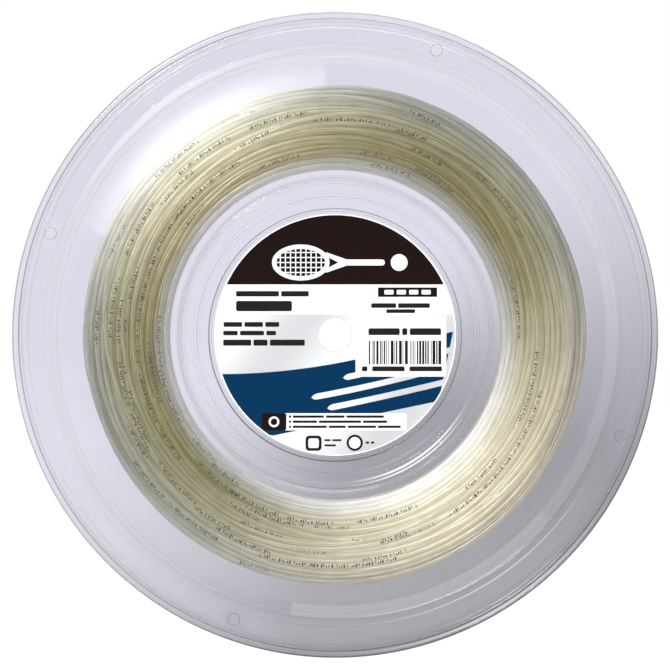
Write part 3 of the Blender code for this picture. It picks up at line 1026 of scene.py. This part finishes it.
marks = [
    print_marks("string_print_front", mark_groups(seed=3, count=18, start=84, end=185)
                + mark_groups(seed=6, count=12, start=268, end=430), -1.0),
    print_marks("string_print_crossings", mark_groups(seed=4, count=20, start=185, end=268), -1.0,
                slip_marks(front_slips, seed=21, start=182, end=282,
                           inside_share=0.60, outside_share=0.08), M_MARK_DARK),
    print_marks("string_print_rear", mark_groups(seed=12, count=20, start=0, end=360), 1.0),
]
for piece in marks:
    attach(piece, "reel")


# ------------------------------------------------------------------ flat print, in mm
def ellipse(centre_x, centre_z, radius_x, radius_z, count=60):
    return [(centre_x + radius_x * math.cos(TAU * k / count),
             centre_z + radius_z * math.sin(TAU * k / count)) for k in range(count)]


def circle(centre_x, centre_z, radius, count):
    return ellipse(centre_x, centre_z, radius, radius, count)


def rectangle(x0, z0, x1, z1):
    return [(x0, z0), (x1, z0), (x1, z1), (x0, z1)]


def rounded_rectangle(x0, z0, x1, z1, radius):
    radius = min(radius, abs(x1 - x0) / 2.01, abs(z1 - z0) / 2.01)
    points = []
    for x, z, start in ((x1 - radius, z1 - radius, 0), (x0 + radius, z1 - radius, 90),
                        (x0 + radius, z0 + radius, 180), (x1 - radius, z0 + radius, 270)):
        for k in range(6):
            angle = math.radians(start + 90 * k / 5)
            points.append((x + radius * math.cos(angle), z + radius * math.sin(angle)))
    return points


def bars(x0, z0, x1, height, words, gap=0.55, corner=0.25):
    """A line of greeked words: plain rounded bars of the given relative widths."""
    room = (x1 - x0) - gap * (len(words) - 1)
    total = sum(words)
    polygons, x = [], x0
    for word in words:
        width = room * word / total
        polygons.append(rounded_rectangle(x, z0, x + width, z0 + height, corner))
        x += width + gap
    return polygons


def inside(polygon, x, z):
    hit = False
    j = len(polygon) - 1
    for i in range(len(polygon)):
        xi, zi = polygon[i]
        xj, zj = polygon[j]
        if (zi > z) != (zj > z) and x < (xj - xi) * (z - zi) / (zj - zi) + xi:
            hit = not hit
        j = i
    return hit


def printed(name, outline, holes, regions, y_front, y_back, materials):
    """A thin sheet whose front is cut into (polygon, material number) regions.

    Later regions lie over earlier ones; the first material is the bare sheet.
    """
    loops = [outline] + holes + [polygon for polygon, _ in regions]
    points = [Vector(point) for loop in loops for point in loop]
    result = geometry.delaunay_2d_cdt(points, loop_edges(loops), [], 0, 1e-5)
    flat_points, triangles = result[0], result[2]
    boxed = []
    for polygon, material in regions:
        xs, zs = zip(*polygon)
        boxed.append((polygon, material, min(xs), max(xs), min(zs), max(zs)))
    kept, index = [], []
    for triangle in triangles:
        middle = sum((flat_points[i] for i in triangle), Vector((0, 0))) / len(triangle)
        x, z = middle.x, middle.y
        if not inside(outline, x, z) or any(inside(hole, x, z) for hole in holes):
            continue
        chosen = 0
        for polygon, material, x0, x1, z0, z1 in boxed:
            if x0 <= x <= x1 and z0 <= z <= z1 and inside(polygon, x, z):
                chosen = material
        kept.append(triangle)
        index.append(chosen)
    used = sorted({i for triangle in kept for i in triangle})
    renumber = {old: new for new, old in enumerate(used)}
    count = len(used)
    verts = [(flat_points[i].x * MM, y, flat_points[i].y * MM)
             for y in (y_front, y_back) for i in used]
    faces = [tuple(renumber[i] for i in triangle) for triangle in kept]
    edges = {}
    for face in faces:
        for k in range(len(face)):
            edges[face[k], face[(k + 1) % len(face)]] = True
    faces += [tuple(i + count for i in reversed(face)) for face in faces]
    faces += [(b, a, a + count, b + count) for a, b in edges if (b, a) not in edges]
    index += [0] * (len(faces) - len(index))
    return make_mesh(name, verts, faces, materials, index, smooth=False)


# ------------------------------------------------------------------ label
WHITE, BLACK, SILVER, NAVY, INK = range(5)
LABEL_MATERIALS = [M_WHITE, M_BLACK, M_SILVER, M_NAVY, M_INK]
LABEL_EDGE = LABEL_RADIUS / MM
PRINT_RADIUS = 29.95                    # printed area, inside a thin white border
SILVER_TOP, WHITE_TOP = 5.15, 12.6      # the silver ground, white band and black top meet here
regions = []


def lay(colour, *polygons):
    regions.extend((polygon, colour) for polygon in polygons)


def chord(low, high):
    """The part of the printed disc between two heights."""
    def edge_angle(z):
        return math.asin(max(-1.0, min(1.0, z / PRINT_RADIUS)))
    bottom, top = edge_angle(low), edge_angle(high)
    right = [bottom + (top - bottom) * k / 40 for k in range(41)]
    left = [math.pi - top + (top - bottom) * k / 40 for k in range(41)]
    return [(PRINT_RADIUS * math.cos(angle), PRINT_RADIUS * math.sin(angle))
            for angle in right + left]


def swoosh(upper, lower, x0, x1, count):
    """A band between two curves, kept inside the printed disc."""
    points = []
    for curve, start, end in ((upper, x0, x1), (lower, x1, x0)):
        for k in range(count + 1):
            x = start + (end - start) * k / count
            z = curve(x)
            distance = math.hypot(x, z)
            if distance > PRINT_RADIUS:
                x, z = x * PRINT_RADIUS / distance, z * PRINT_RADIUS / distance
            points.append((x, z))
    return points


def band_top(x):
    share = max(0.0, min(1.0, (x + 29.0) / 58.0))
    return -9.8 + 10.6 * share * share


def band_bottom(x):
    if x < -16.0:
        return -math.sqrt(max(0.0, PRINT_RADIUS * PRINT_RADIUS - x * x))
    return -25.3 + 9.4 * (x + 16.0) / 45.0


def stripe(share, x0, half):
    """An even stripe along the band, a given share of the way down it."""
    def middle(x):
        return band_top(x) * (1 - share) + band_bottom(x) * share

    def spread(x):
        return half * min(1.0, (x - x0) / 1.2) ** 0.5 if x > x0 else 0.0
    return swoosh(lambda x: middle(x) + spread(x), lambda x: middle(x) - spread(x), x0, 30.5, 50)


def lay_racket(x0, z0):
    """A plain racket lying on its side, head to the left, and a ball beyond its handle."""
    head_x, head_z = 6.1, 3.4           # half sizes of the strung opening
    lay(WHITE, ellipse(x0, z0, 7.2, 4.5))
    lay(BLACK, ellipse(x0, z0, head_x, head_z))
    for k in range(-4, 5):
        x = x0 + k * 1.28
        reach = head_z * math.sqrt(max(0.0, 1 - ((x - x0) / head_x) ** 2)) + 0.1
        lay(WHITE, rectangle(x - 0.13, z0 - reach, x + 0.13, z0 + reach))
    for k in range(-2, 3):
        z = z0 + k * 1.25
        reach = head_x * math.sqrt(max(0.0, 1 - ((z - z0) / head_z) ** 2)) + 0.1
        lay(WHITE, rectangle(x0 - reach, z - 0.13, x0 + reach, z + 0.13))
    lay(WHITE,
        [(x0 + 6.2, z0 + 2.6), (x0 + 11.5, z0 + 0.75), (x0 + 11.5, z0 - 0.75),
         (x0 + 6.2, z0 - 2.6), (x0 + 6.9, z0 - 1.3), (x0 + 9.3, z0 - 0.05),
         (x0 + 9.3, z0 + 0.05), (x0 + 6.9, z0 + 1.3)],
        rounded_rectangle(x0 + 11.2, z0 - 0.75, x0 + 21.0, z0 + 0.75, 0.7),
        circle(x0 + 24.6, z0, 2.1, 40))


lay(SILVER, chord(-LABEL_EDGE, SILVER_TOP))
lay(WHITE, chord(SILVER_TOP, WHITE_TOP))
lay(NAVY, swoosh(band_top, band_bottom, -29.0, 29.5, 60))
for share, left in ((0.27, 2.0), (0.50, -6.0), (0.73, -2.0)):
    lay(SILVER, stripe(share, left, half=0.75))
lay(BLACK, chord(WHITE_TOP, LABEL_EDGE))
lay_racket(-8.6, 18.1)

# greeked product lines: left, bottom, right, height, word widths, then gap and corner
lay(INK, *bars(-24.8, 9.6, -6.6, 1.35, (5.6, 3.6)))
lay(INK, *bars(-24.8, 5.9, -10.8, 2.6, (1,), corner=0.5))
lay(BLACK, rectangle(10.7, 9.5, 25.5, 11.85))
lay(WHITE, *bars(12.3, 10.1, 23.9, 1.15, (1, 1, 1, 1), gap=0.8))
for row in ((9.0, 6.75, 23.7, 1.15, (4.4, 5.6), 0.5), (12.8, 5.45, 20.0, 0.95, (1,), 0.5),
            (-27.9, 2.0, -14.0, 1.2, (4, 4, 3), 0.6), (-28.0, -0.1, -14.8, 1.1, (3, 5, 2), 0.6),
            (-28.0, -2.7, -7.6, 1.5, (4, 2, 5), 0.6)):
    lay(INK, *bars(*row))

# notice box at the foot of the label: a ringed panel and three bulleted lines
lay(WHITE, rounded_rectangle(-18.4, -23.9, 17.9, -19.6, 0.5))
lay(BLACK, rounded_rectangle(-18.4, -23.9, -12.2, -19.6, 0.5))
lay(WHITE, circle(-15.3, -21.75, 1.35, 24))
lay(BLACK, circle(-15.3, -21.75, 0.85, 24))
for k, (right, words) in enumerate(((12.2, (5, 3, 6)), (13.0, (4, 7, 4)), (16.4, (6, 3, 5, 4)))):
    z = -20.75 - k * 1.27
    lay(INK, circle(-11.3, z + 0.3, 0.32, 12),
        *bars(-10.6, z, right, 0.6, words, gap=0.45, corner=0.2))
# a square mark and a round one below it, with short words
lay(INK, rounded_rectangle(-7.4, -29.0, -3.4, -25.2, 0.9))
lay(WHITE, rounded_rectangle(-6.7, -28.3, -4.1, -25.9, 0.5))
lay(INK, circle(4.9, -27.0, 2.05, 32))
lay(WHITE, circle(4.9, -27.0, 1.45, 32))
for row in ((-2.7, -26.6, 1.6, 0.5, (2, 3)), (-2.7, -27.9, 0.2, 0.5, (1,)),
            (7.6, -27.2, 9.8, 0.5, (1, 1))):
    lay(INK, *bars(*row, gap=0.4, corner=0.2))

LABEL_FRONT = RECESS_HEIGHT + 0.22 * MM
label = printed("front_label_printed", circle(0, 0, LABEL_EDGE, 160),
                [circle(0, 0, BORE_RADIUS / MM, 64)], regions,
                -LABEL_FRONT, -(RECESS_HEIGHT + 0.03 * MM), LABEL_MATERIALS)
attach(label, "reel", replaces="front_label")

# ------------------------------------------------------------------ barcode sticker
LEFT, RIGHT = sticker_low.x / MM, sticker_high.x / MM
BOTTOM, TOP_EDGE = sticker_low.z / MM, sticker_high.z / MM


def barcode_regions():
    """Bars of varied width with a greeked line above and one below."""
    rng = random.Random(41)
    polygons = []
    x = LEFT + 3.3
    while x < RIGHT - 0.9:
        width = rng.choice((0.18, 0.18, 0.36, 0.36, 0.54, 0.72))
        polygons.append(rectangle(x, BOTTOM + 3.1, min(x + width, RIGHT - 0.8), TOP_EDGE - 6.1))
        x += width + rng.choice((0.2, 0.2, 0.4, 0.55))
    polygons += bars(LEFT + 3.2, TOP_EDGE - 4.7, RIGHT - 1.3, 1.7, (6, 1, 6), gap=0.6, corner=0.4)
    polygons += bars(LEFT + 1.6, BOTTOM + 1.35, RIGHT - 1.1, 1.2, (1, 6, 6), gap=1.2, corner=0.3)
    return [(polygon, 1) for polygon in polygons]


sticker = printed("barcode_sticker_printed",
                  rounded_rectangle(LEFT, BOTTOM, RIGHT, TOP_EDGE, 0.5), [], barcode_regions(),
                  -(LABEL_FRONT + 0.14 * MM), -(LABEL_FRONT + 0.02 * MM), [M_STICKER, M_INK])
attach(sticker, "reel", replaces="barcode_sticker")

# ------------------------------------------------------------------ free end and its tape
TAIL_CENTRE = 0.06290                   # radius of the free end's centre line
TAIL_SEAT = 0.06202                     # radius its thin start rests on
TAIL_STEPS, TAIL_SIDES = 72, 16
TAIL_START, TAIL_END = math.radians(134.0), math.radians(192.0)


def string_tail():
    """The free end: its start slims and sinks into the turn beside it, its tip is blunt."""
    verts = []
    for j in range(TAIL_STEPS + 1):
        angle = TAIL_START + (TAIL_END - TAIL_START) * j / TAIL_STEPS
        lead = min(1.0, j / 16.0)
        lead = lead * lead * (3 - 2 * lead)
        tip = min(1.0, (TAIL_STEPS - j) / 2.0)
        radius = (STRING_RADIUS * (0.30 + 0.70 * lead)
                  * (0.45 + 0.55 * math.sin(math.pi / 2 * tip)))
        centre = TAIL_SEAT + radius + (TAIL_CENTRE - STRING_RADIUS - TAIL_SEAT) * lead
        for k in range(TAIL_SIDES):
            around = TAU * k / TAIL_SIDES
            verts.append(ring_point(centre + radius * math.cos(around), angle,
                                    radius * math.sin(around)))
    faces = tube_faces(0, TAIL_STEPS + 1, TAIL_SIDES)
    return make_mesh("string_tail_end", verts, faces, [M_STRING])


attach(string_tail(), "free_end", replaces="string_tail")

TAPE_BASE, TAPE_TOP, TAPE_THICKNESS = 62.15, 63.62, 0.12    # mm
TAPE_HALF_WIDTH, ARCH_HALF_WIDTH = 8.0, 2.7                 # mm along Y
TAPE_START, TAPE_END = 177.0, 190.0                         # degrees


def tail_tape():
    """A film arched over the free end and pressed down towards both ends."""
    arch = []
    for k in range(-24, 25):
        height = k / 24 * TAPE_HALF_WIDTH
        rise = max(0.0, 1 - (abs(height) / ARCH_HALF_WIDTH))
        rise = rise * rise * (3 - 2 * rise)
        rise = rise * 1.35 if rise < 0.74 else 1.0
        arch.append((TAPE_BASE + (TAPE_TOP - TAPE_BASE) * rise, height))
    section = [((radius + TAPE_THICKNESS) * MM, height * MM) for radius, height in arch]
    section += [(radius * MM, height * MM) for radius, height in reversed(arch)]
    tape = lathe("tail_tape_film", section, M_TAPE, segments=20,
                 arc=(math.radians(TAPE_START), math.radians(TAPE_END)))
    for vertex in tape.data.vertices:
        place = vertex.co
        radius = math.hypot(place.x, place.z)
        angle = math.degrees(math.atan2(place.z, place.x)) % 360
        from_end = max(0.0, min(1.0, min(angle - TAPE_START, TAPE_END - angle) / 1.6))
        pressed = radius - (radius - TAPE_BASE * MM) * 0.25 * (1 - from_end) ** 2
        place.x *= pressed / radius
        place.z *= pressed / radius
    return tape


attach(tail_tape(), "free_end", replaces="tail_tape")

# ------------------------------------------------------------------ stage
scene = bpy.context.scene
scene.view_settings.view_transform = "Standard"
scene.cycles.transparent_max_bounces = 40
scene.cycles.max_bounces = 8
scene.cycles.diffuse_bounces = 3
scene.cycles.glossy_bounces = 3

bpy.ops.mesh.primitive_plane_add(size=30.0, location=(0, 0, -FLANGE_RADIUS - 0.00005))
floor = bpy.context.object
floor.name = "studio_floor"

# painted light and shade of the backdrop, seen only through the clear plastic
BACK_LIGHT = (0.80, 0.79, 0.88)
BACK_DARK = (0.285, 0.281, 0.306)
DARK_ANGLE = math.radians(300)          # direction in the frame of the darkest backdrop
# ramp position, share of the dark colour
BACK_STOPS = ((0.0, 0.0), (0.45, 0.03), (0.58, 0.22), (0.72, 0.55), (0.86, 0.93), (0.97, 1.0))


def painted_backdrop_shade(net, window):
    """Painted light and shade seen through the plastic: light grey at the frame's upper left, dark
    at the lower right, a little brighter towards the middle.
    """
    place = net.separate(window)
    across, up = net.minus(place["X"], 0.5), net.minus(place["Y"], 0.5)
    distance = net.math("SQRT", net.plus(net.times(across, across), net.times(up, up)))
    toward = net.plus(net.times(across, math.cos(DARK_ANGLE)), net.times(up, math.sin(DARK_ANGLE)))
    toward = net.math("DIVIDE", toward, net.plus(distance, 0.05))
    stops = [(position, tuple(light * (1 - share) + dark * share
                              for light, dark in zip(BACK_LIGHT, BACK_DARK)))
             for position, share in BACK_STOPS]
    colour = net.ramp(net.plus(net.times(toward, 0.5), 0.5), stops)
    lift = net.smooth(distance, low=0.22, high=0.36, start=1.10, end=1.0)
    return net.add("ShaderNodeVectorMath", {0: colour, "Scale": lift},
                   operation="SCALE").outputs[0]


def floor_material():
    """White to the camera, a little shaded from above, painted light and shade of the backdrop
    grey through the plastic.
    """
    net = Nodes(bpy.data.materials.new("studio_floor_white"))
    path = net.add("ShaderNodeLightPath").outputs
    grey = painted_backdrop_shade(net, net.add("ShaderNodeTexCoord").outputs["Window"])
    through = net.math("GREATER_THAN", path["Transparent Depth"], 0.5)
    direct = net.emission((1, 1, 1), strength=1.06)
    incoming = net.add("ShaderNodeNewGeometry").outputs["Incoming"]
    look_down = net.smooth(net.separate(incoming)["Z"], low=0.10, high=0.30)
    shade = net.plus(0.06, net.times(look_down, 0.30))
    seen = net.emission(grey, strength=1.0)
    diffuse = net.add("ShaderNodeBsdfDiffuse", {"Color": (0.9, 0.9, 0.9)}).outputs[0]
    camera_view = net.mix_shaders(through, net.mix_shaders(shade, direct, diffuse), seen)
    return net.finish(net.mix_shaders(path["Is Camera Ray"], diffuse, camera_view))


def studio_world():
    """White to the camera, painted light and shade of the backdrop grey through the plastic;
    brighter light from +Y.
    """
    net = Nodes(bpy.data.worlds.new("studio_world"), output="ShaderNodeOutputWorld")
    coordinates = net.add("ShaderNodeTexCoord").outputs
    path = net.add("ShaderNodeLightPath").outputs
    grey = painted_backdrop_shade(net, coordinates["Window"])
    through = net.math("GREATER_THAN", path["Transparent Depth"], 0.5)
    seen = net.mix(through, (1, 1, 1), grey)
    level = net.add("ShaderNodeMapRange", {
        "Value": net.separate(coordinates["Generated"])["Y"], "From Min": -1.0, "From Max": 1.0,
        "To Min": 0.22, "To Max": 0.75}).outputs["Result"]
    ambient = net.mix(level, (0, 0, 0), (1, 1, 1))
    colour = net.mix(path["Is Camera Ray"], ambient, seen)
    return net.finish(net.add("ShaderNodeBackground", {"Color": colour}).outputs[0])


floor.data.materials.append(floor_material())
scene.world = studio_world()


def softbox(name, at, size, power):
    """A square area light aimed at the middle of the reel."""
    light = bpy.data.lights.new(name, "AREA")
    light.shape = "RECTANGLE"
    light.size = size
    light.size_y = size
    light.energy = power
    obj = link(bpy.data.objects.new(name, light))
    obj.location = at
    obj.rotation_euler = (-Vector(at)).to_track_quat("-Z", "Y").to_euler()


softbox("key_upper_left", at=(-0.62, -0.85, 0.92), size=0.5, power=17.0)
softbox("fill_lower_right", at=(0.9, -0.9, -0.02), size=0.6, power=3.0)
softbox("top_back", at=(0.1, 0.7, 1.0), size=0.8, power=7.0)

# ------------------------------------------------------------------ camera
DISTANCE = 1.8
FOCUS_HEIGHT = 17.5 * MM                # the plane y = -FOCUS_HEIGHT fills the frame width
FRAME_WIDTH = 167.5 * MM
SENSOR_WIDTH = 36.0
camera_data = bpy.data.cameras.new("camera")
camera = link(bpy.data.objects.new("camera", camera_data))
camera.location = (0, -(FOCUS_HEIGHT + DISTANCE), 0)
camera.rotation_euler = (math.radians(90), 0, 0)
camera_data.sensor_width = SENSOR_WIDTH
camera_data.lens = SENSOR_WIDTH * DISTANCE / FRAME_WIDTH
camera_data.clip_start = 0.01
camera_data.clip_end = 100
camera_data.shift_x = -0.04 * MM / FRAME_WIDTH
camera_data.shift_y = -0.035 * MM / FRAME_WIDTH
scene.camera = camera
